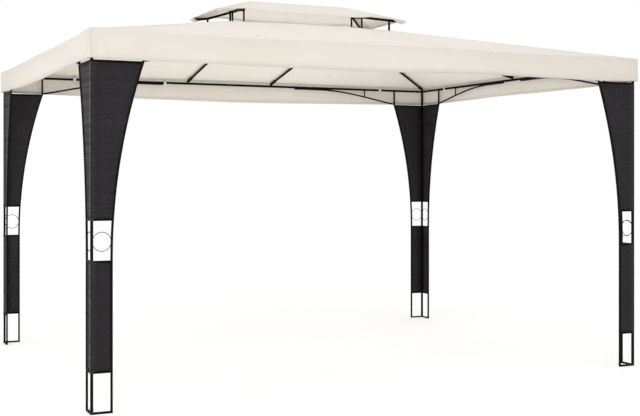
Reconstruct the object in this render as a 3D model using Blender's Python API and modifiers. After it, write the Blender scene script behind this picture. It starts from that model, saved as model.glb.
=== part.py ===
"""Garden gazebo with a two-tier hipped canopy on four flared, woven corner legs.

Every leg is an L of two flat wings that share one square corner post. Each wing has a
flared free-end tube with rails, a woven panel above and below a small open window, a ring
in that window and an open foot. Trussed eave beams join the legs. Hip and common rafters
rise to a small rectangular curb, and a low frame on the curb carries the vent canopy.
+X is the long side, +Y goes to the back, +Z is up, and the origin is on the ground in the
middle of the plan.
"""

import math

import bmesh
import bpy
from mathutils import Matrix, Vector

# Plan, to the outer faces.
CANOPY_LENGTH = 4.000
CANOPY_WIDTH = 3.000
LEG_INSET = 0.0167
GAP = 0.0003

# Heights above the ground.
FOOT_TOP = 0.2338
WINDOW_BOTTOM = 0.8824
WINDOW_TOP = 1.1118
LEG_TOP = 2.0405
BEAM_Z = 2.174
VALANCE_BOTTOM = 2.045
EAVE_Z = 2.2092
OPENING_Z = 2.489
VENT_EAVE_Z = 2.568
VENT_RIDGE_Z = 2.685

# Legs: square corner post, flat free-end tube, rails, ring and woven panels.
POST = 0.015
TUBE = 0.012
RAIL = 0.012
WING_FOOT = 0.130
FLARE_START = 0.900
FLARE_RADIUS = 3.420
STUB_WIDTH = 0.012
RING_WIRE = 0.002
RING_RADIUS = 0.0555
RING_CENTRE = 0.0665
RING_Z = 0.9915
WEAVE_THICKNESS = 0.009

# Eave trusses.
BEAM = 0.018
ARCH_RADIUS = 0.0070
ARCH_START_Z = 2.046
ARCH_START_SLOPE = 0.186
ARCH_REACH = 1.108
ARCH_TAIL = 0.250
LONG_STRUT_REACH = 0.633
SHORT_STRUT_REACH = 0.604

# Rafters, with a thicker sleeve at the foot.
RAFTER_RADIUS = 0.0095
SLEEVE_RADIUS = 0.013
SLEEVE_LENGTH = 0.090
RAFTER_FOOT_Z = 2.1965
RAFTER_HEAD_Z = 2.4735
COMMON_RAFTER_X = 0.395

# Vent curb and the frame that stands on it.
CURB_LENGTH = 1.334
CURB_WIDTH = 0.516
CURB_BAR = 0.020
CURB_TOP = 2.4855
VENT_POST = 0.012
VENT_POST_X = 0.657
VENT_POST_Y = 0.243
VENT_BAR_Z = 2.570
VENT_ROD = 0.0078
VENT_HIP_ROD = 0.0097
KING_CAP_DEPTH = 0.0195
RIDGE_ROD = 0.005
KING_INNER_X = 0.455
KING_OUTER_X = 0.546
KING_TOP_Z = 2.626
HIP_TIP = (0.742, 0.272, 2.562)
RIDGE_HALF = 0.385
RIDGE_TUBE_Z = 2.678

# Cloth.
CLOTH = 0.0015
OPENING_HALF_X = 0.6637
OPENING_HALF_Y = 0.2505
VENT_HALF_X = 0.780
VENT_HALF_Y = 0.290
VENT_RIDGE_HALF = 0.400

HALF_X = CANOPY_LENGTH / 2 - LEG_INSET
HALF_Y = CANOPY_WIDTH / 2 - LEG_INSET
LEGS = (
    ("front_left", -1, -1),
    ("front_right", 1, -1),
    ("back_left", -1, 1),
    ("back_right", 1, 1),
)


def reset_scene():
    for obj in list(bpy.data.objects):
        bpy.data.objects.remove(obj, do_unlink=True)
    for coll in list(bpy.data.collections):
        bpy.data.collections.remove(coll)
    parts = bpy.data.collections.new("Two_tier_gazebo")
    tools = bpy.data.collections.new("Gazebo_cutters")
    bpy.context.scene.collection.children.link(parts)
    bpy.context.scene.collection.children.link(tools)
    return parts, tools


def principled(name, rgb, roughness, metallic):
    mat = bpy.data.materials.new(name)
    mat.use_nodes = True
    shader = mat.node_tree.nodes["Principled BSDF"]
    shader.inputs["Base Color"].default_value = (*rgb, 1.0)
    shader.inputs["Roughness"].default_value = roughness
    shader.inputs["Metallic"].default_value = metallic
    return mat


PARTS, TOOLS = reset_scene()
STEEL = principled("powder_coated_steel", (0.012, 0.010, 0.010), 0.42, 0.0)
WEAVE = principled("woven_resin", (0.022, 0.019, 0.022), 0.55, 0.0)
CLOTH_MAT = principled("canopy_cloth", (0.80, 0.74, 0.66), 0.85, 0.0)


def add_object(name, mesh, mat, parent=None, smooth=False):
    mesh.materials.clear()
    mesh.materials.append(mat)
    if smooth:
        mesh.shade_smooth()
        mesh.set_sharp_from_angle(angle=math.radians(35))
    obj = bpy.data.objects.new(name, mesh)
    PARTS.objects.link(obj)
    if parent is not None:
        obj.parent = parent
    return obj


def pivot(name, location):
    empty = bpy.data.objects.new(name, None)
    empty.empty_display_size = 0.1
    empty.location = location
    PARTS.objects.link(empty)
    return empty


def curve_mesh(curve):
    """Mesh of a curve with its caps welded to its walls."""
    obj = bpy.data.objects.new(curve.name, curve)
    TOOLS.objects.link(obj)
    graph = bpy.context.evaluated_depsgraph_get()
    mesh = bpy.data.meshes.new_from_object(obj.evaluated_get(graph))
    bpy.data.objects.remove(obj, do_unlink=True)
    bm = bmesh.new()
    bm.from_mesh(mesh)
    bmesh.ops.remove_doubles(bm, verts=bm.verts, dist=0.00002)
    bmesh.ops.recalc_face_normals(bm, faces=bm.faces)
    bm.to_mesh(mesh)
    bm.free()
    return mesh


def flat_outline(name, loops, thickness):
    """Plate in the local XY plane: the first loop is the edge and the others are holes."""
    curve = bpy.data.curves.new(name, "CURVE")
    curve.dimensions = "2D"
    curve.fill_mode = "BOTH"
    curve.extrude = thickness / 2
    for loop in loops:
        spline = curve.splines.new("POLY")
        spline.points.add(len(loop) - 1)
        for point, (x, y) in zip(spline.points, loop):
            point.co = (x, y, 0.0, 1.0)
        spline.use_cyclic_u = True
    return curve_mesh(curve)


def upright_outline(name, loop, thickness):
    """Plate standing in the local XZ plane, centred on Y."""
    mesh = flat_outline(name, [loop], thickness)
    mesh.transform(Matrix.Rotation(math.radians(90), 4, "X"))
    return mesh


def round_tube(name, points, radius):
    curve = bpy.data.curves.new(name, "CURVE")
    curve.dimensions = "3D"
    curve.bevel_depth = radius
    curve.bevel_resolution = 2
    curve.use_fill_caps = True
    spline = curve.splines.new("POLY")
    spline.points.add(len(points) - 1)
    for point, co in zip(spline.points, points):
        point.co = (*co, 1.0)
    return curve_mesh(curve)


def box_mesh(name, low, high):
    bm = bmesh.new()
    bmesh.ops.create_cube(bm, size=1.0)
    size = [b - a for a, b in zip(low, high)]
    middle = [(a + b) / 2 for a, b in zip(low, high)]
    bmesh.ops.scale(bm, vec=size, verts=bm.verts)
    bmesh.ops.translate(bm, vec=middle, verts=bm.verts)
    mesh = bpy.data.meshes.new(name)
    bm.to_mesh(mesh)
    bm.free()
    return mesh


def welded(name, meshes):
    """One closed mesh: the union of the given meshes."""
    base = bpy.data.objects.new(name, meshes[0])
    TOOLS.objects.link(base)
    others = []
    for i, mesh in enumerate(meshes[1:]):
        tool = bpy.data.objects.new("%s_tool_%02d" % (name, i), mesh)
        tool.hide_render = True
        tool.display_type = "WIRE"
        TOOLS.objects.link(tool)
        others.append(tool)
        mod = base.modifiers.new("weld_%02d" % i, "BOOLEAN")
        mod.operation = "UNION"
        mod.solver = "EXACT"
        mod.object = tool
    graph = bpy.context.evaluated_depsgraph_get()
    mesh = bpy.data.meshes.new_from_object(base.evaluated_get(graph))
    mesh.name = name
    for obj in [base] + others:
        bpy.data.objects.remove(obj, do_unlink=True)
    return mesh


def trim(mesh, point, normal):
    """Cut away everything on the side the normal points to, and close the cut."""
    bm = bmesh.new()
    bm.from_mesh(mesh)
    geom = bm.verts[:] + bm.edges[:] + bm.faces[:]
    cut = bmesh.ops.bisect_plane(
        bm, geom=geom, plane_co=point, plane_no=normal, dist=1e-6, clear_outer=True)
    rim = [e for e in cut["geom_cut"] if isinstance(e, bmesh.types.BMEdge)]
    bmesh.ops.holes_fill(bm, edges=rim, sides=0)
    bmesh.ops.recalc_face_normals(bm, faces=bm.faces)
    bm.to_mesh(mesh)
    bm.free()


def wing_width(z):
    """Distance from the leg's outer corner to the outer edge of a wing's free end."""
    rise = max(0.0, z - FLARE_START)
    return WING_FOOT + rise * rise / (2 * FLARE_RADIUS)


def stations(low, high, step=0.075):
    """Heights that follow the flare: only the ends below it, even steps inside it."""
    knots = [low]
    start = max(low, FLARE_START)
    if high > FLARE_START:
        count = max(1, round((high - start) / step))
        knots += [start + (high - start) * i / count for i in range(count)]
    knots.append(high)
    return sorted(set(round(k, 6) for k in knots))


def wing_frame_outline():
    """Comb-shaped outline: the flared tube with its rails as teeth."""
    near = POST + GAP
    tip = wing_width(LEG_TOP)
    stub_top = BEAM_Z - BEAM / 2 - GAP
    points = [(wing_width(z), z) for z in stations(0.0, LEG_TOP)]
    points += [(tip, stub_top), (tip - STUB_WIDTH, stub_top), (tip - STUB_WIDTH, LEG_TOP)]
    rails = [
        (LEG_TOP - RAIL, LEG_TOP),
        (WINDOW_TOP, WINDOW_TOP + RAIL),
        (WINDOW_BOTTOM - RAIL, WINDOW_BOTTOM),
        (FOOT_TOP, FOOT_TOP + RAIL),
        (0.0, RAIL),
    ]
    for i, (low, high) in enumerate(rails):
        points += [(near, high), (near, low)]
        if i + 1 < len(rails):
            heights = stations(rails[i + 1][1], low)
            points += [(wing_width(z) - TUBE, z) for z in reversed(heights)]
    return points


def wing_frame_mesh():
    comb = upright_outline("wing_frame", wing_frame_outline(), TUBE)
    bpy.ops.mesh.primitive_torus_add(
        major_radius=RING_RADIUS, minor_radius=RING_WIRE, major_segments=40, minor_segments=8,
        location=(0.0, 0.0, 0.0))
    torus = bpy.context.object
    ring = torus.data.copy()
    bpy.data.objects.remove(torus, do_unlink=True)
    ring.transform(Matrix.Rotation(math.radians(90), 4, "X"))
    ring.transform(Matrix.Translation((RING_CENTRE, 0.0, RING_Z)))
    trim(ring, (POST + GAP, 0, 0), (-1, 0, 0))
    return welded("wing_frame", [comb, ring])


def weave_panel_mesh(name, low, high):
    near = POST + GAP
    heights = stations(low + GAP, high - GAP)
    loop = [(wing_width(z) - TUBE - GAP, z) for z in heights]
    loop += [(near, high - GAP), (near, low + GAP)]
    return upright_outline(name, loop, WEAVE_THICKNESS)


def build_legs():
    frame = wing_frame_mesh()
    upper = weave_panel_mesh("weave_upper", WINDOW_TOP + RAIL, LEG_TOP - RAIL)
    lower = weave_panel_mesh("weave_lower", FOOT_TOP + RAIL, WINDOW_BOTTOM - RAIL)
    post = box_mesh("corner_post", (0, 0, 0), (POST, POST, BEAM_Z + BEAM / 2))
    for side, sx, sy in LEGS:
        corner = pivot("leg_" + side, (sx * HALF_X, sy * HALF_Y, 0.0))
        turn = {(-1, -1): 0, (1, -1): 90, (1, 1): 180, (-1, 1): -90}[(sx, sy)]
        obj = add_object("corner_post_" + side, post.copy(), STEEL, corner)
        obj.rotation_euler.z = math.radians(turn)
        wings = (
            ("long", (0.0, -sy * POST / 2, 0.0), 0 if sx < 0 else 180),
            ("short", (-sx * POST / 2, 0.0, 0.0), 90 if sy < 0 else -90),
        )
        for wing, offset, angle in wings:
            for part, mesh, mat in (
                    ("wing_frame", frame, STEEL),
                    ("weave_upper", upper, WEAVE),
                    ("weave_lower", lower, WEAVE)):
                name = "%s_%s_%s" % (part, side, wing)
                obj = add_object(name, mesh.copy(), mat, corner)
                obj.location = offset
                obj.rotation_euler.z = math.radians(angle)


def arch_point(half, t):
    """Point on the brace between the wing's free end (t=0) and the beam (t=1)."""
    start = wing_width(LEG_TOP) + 0.0022
    span = ARCH_REACH - start
    rise = BEAM_Z - BEAM / 2 - 0.004 - ARCH_START_Z
    slope = ARCH_START_SLOPE * span
    cubic = slope - 2 * rise
    square = rise - slope - cubic
    z = ARCH_START_Z + slope * t + square * t * t + cubic * t ** 3
    return (half - start - span * t, 0.0, z)


def truss_mesh(name, half, strut_reach):
    """Beam with a curved brace and a short strut near both ends, along local X."""
    end = half - POST - GAP
    pieces = [box_mesh(name, (-end, -POST / 2, BEAM_Z - BEAM / 2), (end, POST / 2, BEAM_Z + BEAM / 2))]
    for sign in (-1, 1):
        arch = [arch_point(half, i / 10) for i in range(11)]
        x, y, z = arch[-1]
        arch.append((x - ARCH_TAIL, y, z))
        pieces.append(round_tube("brace", [(sign * x, y, z) for x, y, z in arch], ARCH_RADIUS))
        start = wing_width(LEG_TOP) + 0.0022
        t = (strut_reach - start) / (ARCH_REACH - start)
        x, y, z = arch_point(half, t)
        pieces.append(round_tube("strut", [(sign * x, y, z), (sign * x, y, BEAM_Z)], ARCH_RADIUS * 0.8))
    return welded(name, pieces)


def build_trusses():
    long_truss = truss_mesh("long_truss", HALF_X, LONG_STRUT_REACH)
    short_truss = truss_mesh("short_truss", HALF_Y, SHORT_STRUT_REACH)
    for name, mesh, location, angle in (
            ("front", long_truss, (0, -(HALF_Y - POST / 2), 0), 0),
            ("back", long_truss, (0, HALF_Y - POST / 2, 0), 0),
            ("left", short_truss, (-(HALF_X - POST / 2), 0, 0), 90),
            ("right", short_truss, (HALF_X - POST / 2, 0, 0), 90)):
        obj = add_object("eave_truss_" + name, mesh.copy(), STEEL, smooth=True)
        obj.location = location
        obj.rotation_euler.z = math.radians(angle)


def rafter_mesh(name, run, back):
    """Rafter from the foot at the local origin up along +X, cut plumb at its head."""
    slope = (RAFTER_HEAD_Z - RAFTER_FOOT_Z) / run
    length = math.hypot(1.0, slope)
    along = Vector((1.0 / length, 0.0, slope / length))
    foot = Vector((0.0, 0.0, RAFTER_FOOT_Z))
    head = foot + along * (run * length + 0.03)
    sleeve_end = foot + along * SLEEVE_LENGTH
    start = foot - along * (back + 0.01)
    tube = round_tube(name, [start + along * 0.004, head], RAFTER_RADIUS)
    sleeve = round_tube(name + "_sleeve", [start, sleeve_end], SLEEVE_RADIUS)
    mesh = welded(name, [tube, sleeve])
    trim(mesh, (0, 0, BEAM_Z + BEAM / 2 + GAP), (0, 0, -1))
    trim(mesh, (-back, 0, 0), (-1, 0, 0))
    trim(mesh, (run - GAP, 0, 0), (1, 0, 0))
    return mesh


def build_rafters():
    post_x = HALF_X - POST / 2
    post_y = HALF_Y - POST / 2
    plan = Vector((CURB_LENGTH / 2 - post_x, CURB_WIDTH / 2 - post_y))
    hip = rafter_mesh("hip_rafter", plan.length, 0.006)
    for side, sx, sy in LEGS:
        obj = add_object("hip_rafter_" + side, hip.copy(), STEEL, smooth=True)
        obj.location = (sx * post_x, sy * post_y, 0.0)
        obj.rotation_euler.z = math.atan2(sy * plan.y, sx * plan.x)
    common = rafter_mesh("common_rafter", post_y - CURB_WIDTH / 2, 0.006)
    for side, sx, sy in LEGS:
        obj = add_object("common_rafter_" + side, common.copy(), STEEL, smooth=True)
        obj.location = (sx * COMMON_RAFTER_X, sy * post_y, 0.0)
        obj.rotation_euler.z = math.radians(-90 * sy)
    middle = rafter_mesh("end_rafter", post_x - CURB_LENGTH / 2, 0.006)
    for side, sx in (("left", -1), ("right", 1)):
        obj = add_object("end_rafter_" + side, middle.copy(), STEEL, smooth=True)
        obj.location = (sx * post_x, 0.0, 0.0)
        obj.rotation_euler.z = 0.0 if sx < 0 else math.radians(180)


def rectangle(x0, y0, x1, y1):
    return [(x0, y0), (x1, y0), (x1, y1), (x0, y1)]


def build_vent_frame():
    half_x = CURB_LENGTH / 2
    half_y = CURB_WIDTH / 2
    loops = [rectangle(-half_x, -half_y, half_x, half_y)]
    inner_x = half_x - CURB_BAR
    inner_y = half_y - CURB_BAR
    loops.append(rectangle(-inner_x, CURB_BAR / 2, inner_x, inner_y))
    loops.append(rectangle(-inner_x, -inner_y, inner_x, -CURB_BAR / 2))
    curb = add_object("vent_curb", flat_outline("vent_curb", loops, CURB_BAR), STEEL)
    curb.location = (0.0, 0.0, CURB_TOP - CURB_BAR / 2)

    base = CURB_TOP + GAP
    w = VENT_POST / 2
    cap_top = KING_TOP_Z + VENT_ROD
    pieces = [box_mesh("king_cap", (KING_INNER_X - w, -w * 0.9, KING_TOP_Z - KING_CAP_DEPTH),
                       (KING_OUTER_X + w, w * 0.9, cap_top))]
    for x in (KING_INNER_X, KING_OUTER_X):
        pieces.append(box_mesh("king_post", (x - w * 0.8, -w, base), (x + w * 0.8, w, cap_top - 0.002)))
    for sy in (-1, 1):
        y = sy * VENT_POST_Y
        pieces.append(round_tube("vent_hip", [
            (KING_INNER_X + 0.0027, sy * 0.0031, KING_TOP_Z - 0.0017),
            (VENT_POST_X, y, VENT_BAR_Z),
            (HIP_TIP[0], sy * HIP_TIP[1], HIP_TIP[2])], VENT_HIP_ROD))
        pieces.append(box_mesh("vent_post", (VENT_POST_X - w, y - w, base),
                               (VENT_POST_X + w, y + w, VENT_BAR_Z + 0.0041)))
    end = welded("vent_end", pieces)
    for side, angle in (("right", 0), ("left", 180)):
        obj = add_object("vent_end_" + side, end.copy(), STEEL, smooth=True)
        obj.rotation_euler.z = math.radians(angle)

    foot = KING_INNER_X - w - GAP
    fall = (RIDGE_TUBE_Z - KING_TOP_Z) / (foot - RIDGE_HALF)
    ends = (foot + 0.02, 0, KING_TOP_Z - 0.02 * fall)
    path = [(-ends[0], 0, ends[2]), (-RIDGE_HALF, 0, RIDGE_TUBE_Z),
            (RIDGE_HALF, 0, RIDGE_TUBE_Z), ends]
    ridge = round_tube("vent_ridge_tube", path, RIDGE_ROD)
    trim(ridge, (foot, 0, 0), (1, 0, 0))
    trim(ridge, (-foot, 0, 0), (-1, 0, 0))
    add_object("vent_ridge_tube", ridge, STEEL, smooth=True)


def panel_mesh(name, half_edge, half_length, half_opening, half_opening_length):
    """Sloping panel with its hanging valance, facing local -Y, mitred at both hips."""
    run = half_edge - half_opening
    slope = (OPENING_Z - EAVE_Z) / run
    drop = CLOTH * math.hypot(1.0, slope)
    profile = [
        (-half_edge, VALANCE_BOTTOM),
        (-half_edge, EAVE_Z),
        (-half_opening, OPENING_Z),
        (-half_opening, OPENING_Z - drop),
        (-half_edge + CLOTH, EAVE_Z + CLOTH * slope - drop),
        (-half_edge + CLOTH, VALANCE_BOTTOM),
    ]
    mesh = flat_outline(name, [profile], 2 * half_length + 0.1)
    turn = Matrix(((0, 0, 1, 0), (1, 0, 0, 0), (0, 1, 0, 0), (0, 0, 0, 1)))
    mesh.transform(turn)
    for sign in (-1, 1):
        corner = Vector((sign * half_length, -half_edge, 0.0))
        inner = Vector((sign * half_opening_length, -half_opening, 0.0))
        along = (inner - corner).normalized()
        outward = Vector((-along.y, along.x, 0.0))
        if outward.x * sign < 0:
            outward = -outward
        trim(mesh, corner - outward * GAP * 0.6, outward)
    return mesh


def build_canopy():
    long_panel = panel_mesh("long_panel", CANOPY_WIDTH / 2, CANOPY_LENGTH / 2,
                            OPENING_HALF_Y, OPENING_HALF_X)
    short_panel = panel_mesh("short_panel", CANOPY_LENGTH / 2, CANOPY_WIDTH / 2,
                             OPENING_HALF_X, OPENING_HALF_Y)
    for side, mesh, angle in (
            ("front", long_panel, 0), ("back", long_panel, 180),
            ("left", short_panel, -90), ("right", short_panel, 90)):
        obj = add_object("canopy_" + side, mesh.copy(), CLOTH_MAT)
        obj.rotation_euler.z = math.radians(angle)

    bm = bmesh.new()
    for sx in (-1, 1):
        bmesh.ops.create_vert(bm, co=(sx * VENT_RIDGE_HALF, 0.0, VENT_RIDGE_Z))
        for sy in (-1, 1):
            bmesh.ops.create_vert(bm, co=(sx * VENT_HALF_X, sy * VENT_HALF_Y, VENT_EAVE_Z))
    bmesh.ops.convex_hull(bm, input=bm.verts)
    bmesh.ops.dissolve_limit(bm, angle_limit=math.radians(1), verts=bm.verts, edges=bm.edges)
    under = [f for f in bm.faces if f.normal.z < -0.5]
    bmesh.ops.delete(bm, geom=under, context="FACES")
    mesh = bpy.data.meshes.new("vent_canopy")
    bm.to_mesh(mesh)
    bm.free()
    top = add_object("vent_canopy", mesh, CLOTH_MAT)
    shell = top.modifiers.new("cloth", "SOLIDIFY")
    shell.thickness = CLOTH
    shell.offset = -1.0
    shell.use_even_offset = True


build_legs()
build_trusses()
build_rafters()
build_vent_frame()
build_canopy()
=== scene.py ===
# %% [markdown]
# # A garden gazebo with a two-tier canopy
#
# The real thing is about four metres by three. Four L-shaped legs of black steel tube, woven
# over with flat resin strand, flare out under the eaves. Light trusses join the legs, rafters
# rise to a small curb, and two cream cloths cover it all: a large hipped canopy with a hanging
# valance, and a small vent canopy that stands clear above the curb.
#
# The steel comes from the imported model, so it only gets its finish here. The cloth and the
# weave are made here, because their folds and strands are what the eye looks for.

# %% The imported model
import math

import bmesh
import bpy
import numpy as np
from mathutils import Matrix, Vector


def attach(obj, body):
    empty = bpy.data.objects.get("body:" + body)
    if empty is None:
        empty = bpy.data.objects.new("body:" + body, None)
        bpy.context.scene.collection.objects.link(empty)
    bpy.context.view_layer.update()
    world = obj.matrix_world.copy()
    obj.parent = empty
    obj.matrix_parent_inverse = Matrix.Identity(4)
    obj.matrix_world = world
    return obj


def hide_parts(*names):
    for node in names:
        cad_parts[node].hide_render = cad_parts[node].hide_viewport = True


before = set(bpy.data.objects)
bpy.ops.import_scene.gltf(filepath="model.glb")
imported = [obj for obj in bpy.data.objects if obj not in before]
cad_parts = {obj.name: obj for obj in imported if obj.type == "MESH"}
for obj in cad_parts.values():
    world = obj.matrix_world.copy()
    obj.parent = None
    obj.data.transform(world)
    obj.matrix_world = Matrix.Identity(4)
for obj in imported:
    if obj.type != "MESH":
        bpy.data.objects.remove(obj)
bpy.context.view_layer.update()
scene = bpy.context.scene

# %% [markdown]
# ## Sizes
#
# Lengths are in metres. They repeat the ones that the steel was drawn with, because the cloth
# has to lie on the rafters and the strands have to fit between the rails.

# %% Sizes of the frame
HALF_X, HALF_Y = 1.9833, 1.4833
POST = 0.015
TUBE = 0.012
WING_FOOT = 0.130
FLARE_START = 0.900
FLARE_RADIUS = 3.420
UPPER_WEAVE = (1.1241, 2.0282)
LOWER_WEAVE = (0.2461, 0.8701)
BEAM_Z, BEAM = 2.174, 0.018
COMMON_RAFTER_X = 0.395
CURB_HALF_X, CURB_HALF_Y = 0.667, 0.258
CURB_BAR, CURB_TOP = 0.020, 2.4855
LEGS = (("front_left", -1, -1), ("front_right", 1, -1),
        ("back_left", -1, 1), ("back_right", 1, 1))

# %% Sizes of the cloth
EAVE_X, EAVE_Y, EAVE_Z = 2.000, 1.500, 2.2092
OPENING_X, OPENING_Y, OPENING_Z = 0.6637, 0.2505, 2.489
VENT_X, VENT_Y, VENT_EAVE_Z = 0.780, 0.290, 2.568
VENT_RIDGE, VENT_RIDGE_Z = 0.400, 2.685
VALANCE_DROP, HEM_WIDTH = 0.164, 0.022
SIDES = ("front", "right", "back", "left")
UV_GAP = 5.0  # the four sides lie this far apart in the UV map
rng = np.random.default_rng(7)

# %% [markdown]
# ## Camera
#
# The picture is taken from standing height in front of the left corner, with a slightly long
# lens. The lens shift keeps the uprights vertical, as in a product shot.

# %% Camera
FOCAL_PX = 1100.5
PICTURE = (640, 416)
VIEW_CENTRE = (296.41, 173.66)
SENSOR = 36.0
CAMERA_PLACE = (-3.5023, -7.7177, 1.384)
CAMERA_TURN = math.radians(24.281)
camera = bpy.data.objects.new("camera", bpy.data.cameras.new("camera"))
camera.data.sensor_width = SENSOR
camera.data.lens = FOCAL_PX / PICTURE[0] * SENSOR
camera.data.shift_x = (PICTURE[0] / 2 - VIEW_CENTRE[0]) / PICTURE[0]
camera.data.shift_y = (VIEW_CENTRE[1] - PICTURE[1] / 2) / PICTURE[0]
camera.data.clip_end = 200.0
camera.location = CAMERA_PLACE
camera.rotation_euler = (math.pi / 2, 0.0, -CAMERA_TURN)
scene.collection.objects.link(camera)
scene.camera = camera
print("lens:", round(camera.data.lens, 2), "mm")

# %% [markdown]
# ## Small helpers
#
# Node trees read best when a node, its settings and what feeds it stand on one line. `put` does
# that. A value that feeds a node is either a number, which is set, or a socket, which is wired.

# %% Helpers for node trees
def feed(tree, socket, value):
    if isinstance(value, bpy.types.NodeSocket):
        tree.links.new(value, socket)
    else:
        socket.default_value = value


def put(tree, kind, feeds=(), **settings):
    node = tree.nodes.new("ShaderNode" + kind)
    for key, value in settings.items():
        setattr(node, key, value)
    for key, value in dict(feeds).items():
        feed(tree, node.inputs[key], value)
    return node


def calc(tree, operation, a, b=0.0):
    """One Math node; a and b are numbers or sockets."""
    return put(tree, "Math", {0: a, 1: b}, operation=operation).outputs[0]


def times(tree, a, b):
    return calc(tree, "MULTIPLY", a, b)


def span(tree, value, low, high, to_low=0.0, to_high=1.0):
    """A smooth step from to_low to to_high while value goes from low to high."""
    node = put(tree, "MapRange", {0: value, 1: low, 2: high, 3: to_low, 4: to_high},
               interpolation_type="SMOOTHSTEP")
    return node.outputs[0]


def blend_colour(tree, factor, a, b):
    """Mixes two colours, which are sockets or (r, g, b)."""
    node = put(tree, "Mix", {0: factor}, data_type="RGBA")
    for socket, value in ((node.inputs[6], a), (node.inputs[7], b)):
        feed(tree, socket, value if isinstance(value, bpy.types.NodeSocket) else (*value, 1.0))
    return node.outputs[2]


def new_group(name, inputs, outputs):
    """An empty shader group with named sockets; inputs are (label, kind, value)."""
    tree = bpy.data.node_groups.new(name, "ShaderNodeTree")
    for label, kind, value in inputs:
        socket = tree.interface.new_socket(label, in_out="INPUT", socket_type="NodeSocket" + kind)
        if value is not None:
            socket.default_value = value
    for label, kind in outputs:
        tree.interface.new_socket(label, in_out="OUTPUT", socket_type="NodeSocket" + kind)
    start = tree.nodes.new("NodeGroupInput")
    end = tree.nodes.new("NodeGroupOutput")
    return tree, start.outputs, end.inputs


def use_group(tree, group, feeds=()):
    return put(tree, "Group", feeds, node_tree=group).outputs


def new_material(name, **shader_values):
    """A material with one Principled shader, whose plain values are set on its own sockets."""
    mat = bpy.data.materials.new(name)
    mat.use_nodes = True
    shader = mat.node_tree.nodes["Principled BSDF"]
    for label, value in shader_values.items():
        shader.inputs[label.replace("_", " ")].default_value = value
    return mat, mat.node_tree, shader


# %% Helpers for meshes
def mesh_piece(name, points, faces, uvs, material, slot, smooth=True):
    """A piece from points, quads and one (u, v) per face corner, riding on the root body."""
    mesh = bpy.data.meshes.new(name)
    mesh.from_pydata(np.asarray(points, float).tolist(), [], np.asarray(faces, int).tolist())
    layer = mesh.uv_layers.new(name="UVMap")
    layer.data.foreach_set("uv", np.asarray(uvs, np.float32).ravel())
    mesh.materials.append(material)
    mesh.validate()
    if smooth:
        mesh.shade_smooth()
    obj = bpy.data.objects.new(name, mesh)
    scene.collection.objects.link(obj)
    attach(obj, "root")
    return obj


def grid(points, uvs):
    """(points, quads, corner uvs) of a rows by columns grid, with rows running down the sheet."""
    rows, cols = points.shape[:2]
    i = np.arange(rows * cols).reshape(rows, cols)
    quads = np.stack([i[:-1, :-1], i[1:, :-1], i[1:, 1:], i[:-1, 1:]], -1).reshape(-1, 4)
    flat = uvs.reshape(-1, 2)
    return points.reshape(-1, 3), quads, flat[quads].reshape(-1, 2)


def stacked(*values):
    """Fits the values to each other's shape and stacks them along a new last axis."""
    return np.stack(np.broadcast_arrays(*values), -1)


def joined(parts):
    """Several (points, quads, uvs) as one."""
    points, quads, uvs, start = [], [], [], 0
    for p, q, u in parts:
        points.append(p)
        quads.append(q + start)
        uvs.append(u)
        start += len(p)
    return np.concatenate(points), np.concatenate(quads), np.concatenate(uvs)


def turned_over(points, quads, uvs):
    """The same faces, facing the other way."""
    return points, quads[:, ::-1], uvs.reshape(-1, 4, 2)[:, ::-1].reshape(-1, 2)


def weld_seams(obj, distance=0.00002):
    """Joins points that lie together, and drops faces that shrink to a line."""
    bm = bmesh.new()
    bm.from_mesh(obj.data)
    bmesh.ops.remove_doubles(bm, verts=bm.verts, dist=distance)
    bmesh.ops.dissolve_degenerate(bm, edges=bm.edges, dist=distance)
    bm.to_mesh(obj.data)
    bm.free()


# %% [markdown]
# ## Shared surface effects
#
# Four effects turn up on more than one finish: the threads of a woven cloth, the fold lines that
# it keeps from its box, wear along steel edges, and a film of dust on what faces up. Each is one
# node group, so that its knobs sit in one place.

# %% Thread pattern
thread, given, out = new_group(
    "plain_weave", [("Place", "Vector", None), ("Pitch", "Float", 0.0016)], [("Height", "Float")])
axes = put(thread, "SeparateXYZ", {0: given["Place"]}).outputs
turns = calc(thread, "DIVIDE", math.tau, given["Pitch"])
warp = calc(thread, "SINE", times(thread, axes[0], turns))
weft = calc(thread, "SINE", times(thread, axes[1], turns))
thread.links.new(times(thread, warp, weft), out["Height"])

# %% Fold lines and soft wrinkles
folds, given, out = new_group(
    "box_folds",
    [("Place", "Vector", None), ("Spacing", "Float", 0.52), ("Wrinkle Size", "Float", 2.2)],
    [("Height", "Float"), ("Shade", "Float")])
wander = put(folds, "TexNoise", {"Vector": given["Place"], "Scale": 1.7, "Detail": 2.0})
axes = put(folds, "SeparateXYZ", {0: given["Place"]}).outputs
lines = []
for axis, shift in ((axes[0], 0.21), (axes[1], 0.37)):
    moved = calc(folds, "MULTIPLY_ADD", wander.outputs[0], 0.05)
    folds.links.new(calc(folds, "ADD", axis, shift), moved.node.inputs[2])
    cell = calc(folds, "FRACT", calc(folds, "DIVIDE", moved, given["Spacing"]))
    near = calc(folds, "ABSOLUTE", calc(folds, "SUBTRACT", cell, 0.5))
    lines.append(span(folds, near, 0.0, 0.022, 1.0, 0.0))
line = calc(folds, "MAXIMUM", lines[0], lines[1])
patchy = put(folds, "TexNoise", {"Vector": given["Place"], "Scale": 3.1, "Detail": 3.0})
line = times(folds, line, span(folds, patchy.outputs[0], 0.40, 0.62))
stretch = put(folds, "Mapping", {"Vector": given["Place"], "Scale": (1.0, 3.5, 1.0)})
wrinkle = put(folds, "TexNoise", {"Vector": stretch.outputs[0], "Scale": given["Wrinkle Size"],
                                  "Detail": 5.0, "Roughness": 0.55})
height = calc(folds, "ADD", times(folds, line, 0.22), wrinkle.outputs[0])
folds.links.new(height, out["Height"])
# The Shade output is the fold-line mask; the cloth finish darkens along it as painted shade.
folds.links.new(line, out["Shade"])

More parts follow.
